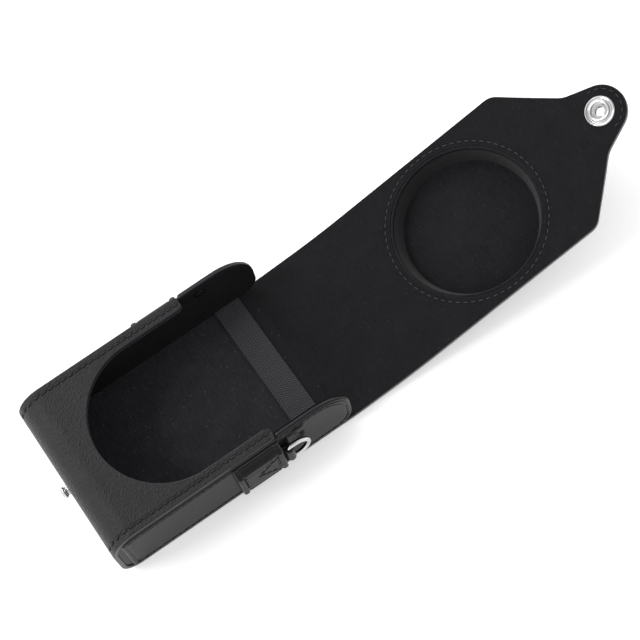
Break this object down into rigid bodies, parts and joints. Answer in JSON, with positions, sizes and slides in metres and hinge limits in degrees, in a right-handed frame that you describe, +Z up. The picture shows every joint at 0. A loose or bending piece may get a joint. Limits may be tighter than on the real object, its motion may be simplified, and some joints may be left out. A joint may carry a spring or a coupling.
{
  "type": "camera case",
  "caption": "Leather compact-camera case lying open: long snap flap with a lens cup, stitched pocket, side gussets with strap rings.",
  "frame": {"origin": "middle of the back face, halfway along the pocket, on the surface the case lies on", "axes": "+X to the right, +Y from the closed end along the opened flap, +Z up, out of the front cut-out"},
  "size_m": [0.0806, 0.2695, 0.0391],
  "materials": {
    "grained_leather": "satin, finely rippled grain",
    "smooth_leather": "semi-gloss, almost smooth",
    "lining": "matt brushed microfibre",
    "elastic": "matt woven elastic",
    "thread": "waxed thread",
    "board": "plain stiffener board",
    "bright_metal": "polished nickel plate",
    "spring_wire": "drawn wire"
  },
  "bodies": {
    "case_body": {"back_board": "board", "elastic_band": "elastic", "end_board": "board", "front_board": "board", "front_seam_thread": "thread", "left_gusset_board": "board", "left_gusset_leather": "smooth_leather", "left_gusset_lining": "lining", "left_gusset_rivet": "bright_metal", "left_gusset_thread": "thread", "left_ring_tab": "smooth_leather", "left_rivet_cap": "bright_metal", "left_sleeve_thread": "thread", "left_strap_sleeve": "smooth_leather", "outer_wrap": "grained_leather", "pocket_lining": "lining", "right_gusset_board": "board", "right_gusset_leather": "smooth_leather", "right_gusset_lining": "lining", "right_gusset_rivet": "bright_metal", "right_gusset_thread": "thread", "right_ring_tab": "smooth_leather", "right_rivet_cap": "bright_metal", "right_sleeve_thread": "thread", "right_strap_sleeve": "smooth_leather", "snap_stud": "bright_metal", "stud_plate": "bright_metal"},
    "flap_top": {"flap_top_board": "board", "flap_top_leather": "grained_leather", "flap_top_lining": "lining"},
    "ear_fold_1": {"ear_fold_1_leather": "grained_leather", "ear_fold_1_lining": "lining"},
    "ear_fold_2": {"ear_fold_2_leather": "grained_leather", "ear_fold_2_lining": "lining"},
    "flap_front": {"cup_former": "board", "cup_leather": "grained_leather", "cup_lining": "lining", "cup_thread": "thread", "flap_front_board": "board", "flap_front_leather": "grained_leather", "flap_front_lining": "lining"},
    "tongue_fold_1": {"tongue_fold_1_leather": "grained_leather", "tongue_fold_1_lining": "lining"},
    "tongue_fold_2": {"tongue_fold_2_leather": "grained_leather", "tongue_fold_2_lining": "lining"},
    "tongue": {"snap_eyelet": "bright_metal", "snap_socket": "bright_metal", "snap_spring": "spring_wire", "tongue_leather": "grained_leather", "tongue_lining": "lining", "tongue_thread": "thread"},
    "left_ring": {"left_d_ring": "bright_metal"},
    "right_ring": {"right_d_ring": "bright_metal"}
  },
  "joints": [
    {"name": "flap_hinge", "type": "hinge", "parent": "case_body", "child": "flap_top", "pos_m": [0, 0.05535, 0.0027], "axis": [1, 0, 0], "range_deg": [0, 84.47]},
    {"name": "ear_bend_1", "type": "hinge", "parent": "flap_top", "child": "ear_fold_1", "pos_m": [0, 0.07514, 0.00462], "axis": [1, 0, 0], "range_deg": [0, 27.5]},
    {"name": "ear_bend_2", "type": "hinge", "parent": "ear_fold_1", "child": "ear_fold_2", "pos_m": [0, 0.08421, 0.0059], "axis": [1, 0, 0], "range_deg": [0, 27.5]},
    {"name": "ear_bend_3", "type": "hinge", "parent": "ear_fold_2", "child": "flap_front", "pos_m": [0, 0.09322, 0.00757], "axis": [1, 0, 0], "range_deg": [0, 27.5]},
    {"name": "tongue_bend_1", "type": "hinge", "parent": "flap_front", "child": "tongue_fold_1", "pos_m": [0, 0.17989, 0.02763], "axis": [1, 0, 0], "range_deg": [0, 27]},
    {"name": "tongue_bend_2", "type": "hinge", "parent": "tongue_fold_1", "child": "tongue_fold_2", "pos_m": [0, 0.18638, 0.0295], "axis": [1, 0, 0], "range_deg": [0, 27]},
    {"name": "tongue_bend_3", "type": "hinge", "parent": "tongue_fold_2", "child": "tongue", "pos_m": [0, 0.19276, 0.0317], "axis": [1, 0, 0], "range_deg": [0, 27]},
    {"name": "left_ring_swing", "type": "hinge", "parent": "case_body", "child": "left_ring", "pos_m": [-0.03828, 0.024, 0.017], "axis": [0, 0, 1], "range_deg": [0, 100]},
    {"name": "right_ring_swing", "type": "hinge", "parent": "case_body", "child": "right_ring", "pos_m": [0.03828, 0.024, 0.017], "axis": [0, 0, -1], "range_deg": [0, 100]}
  ]
}
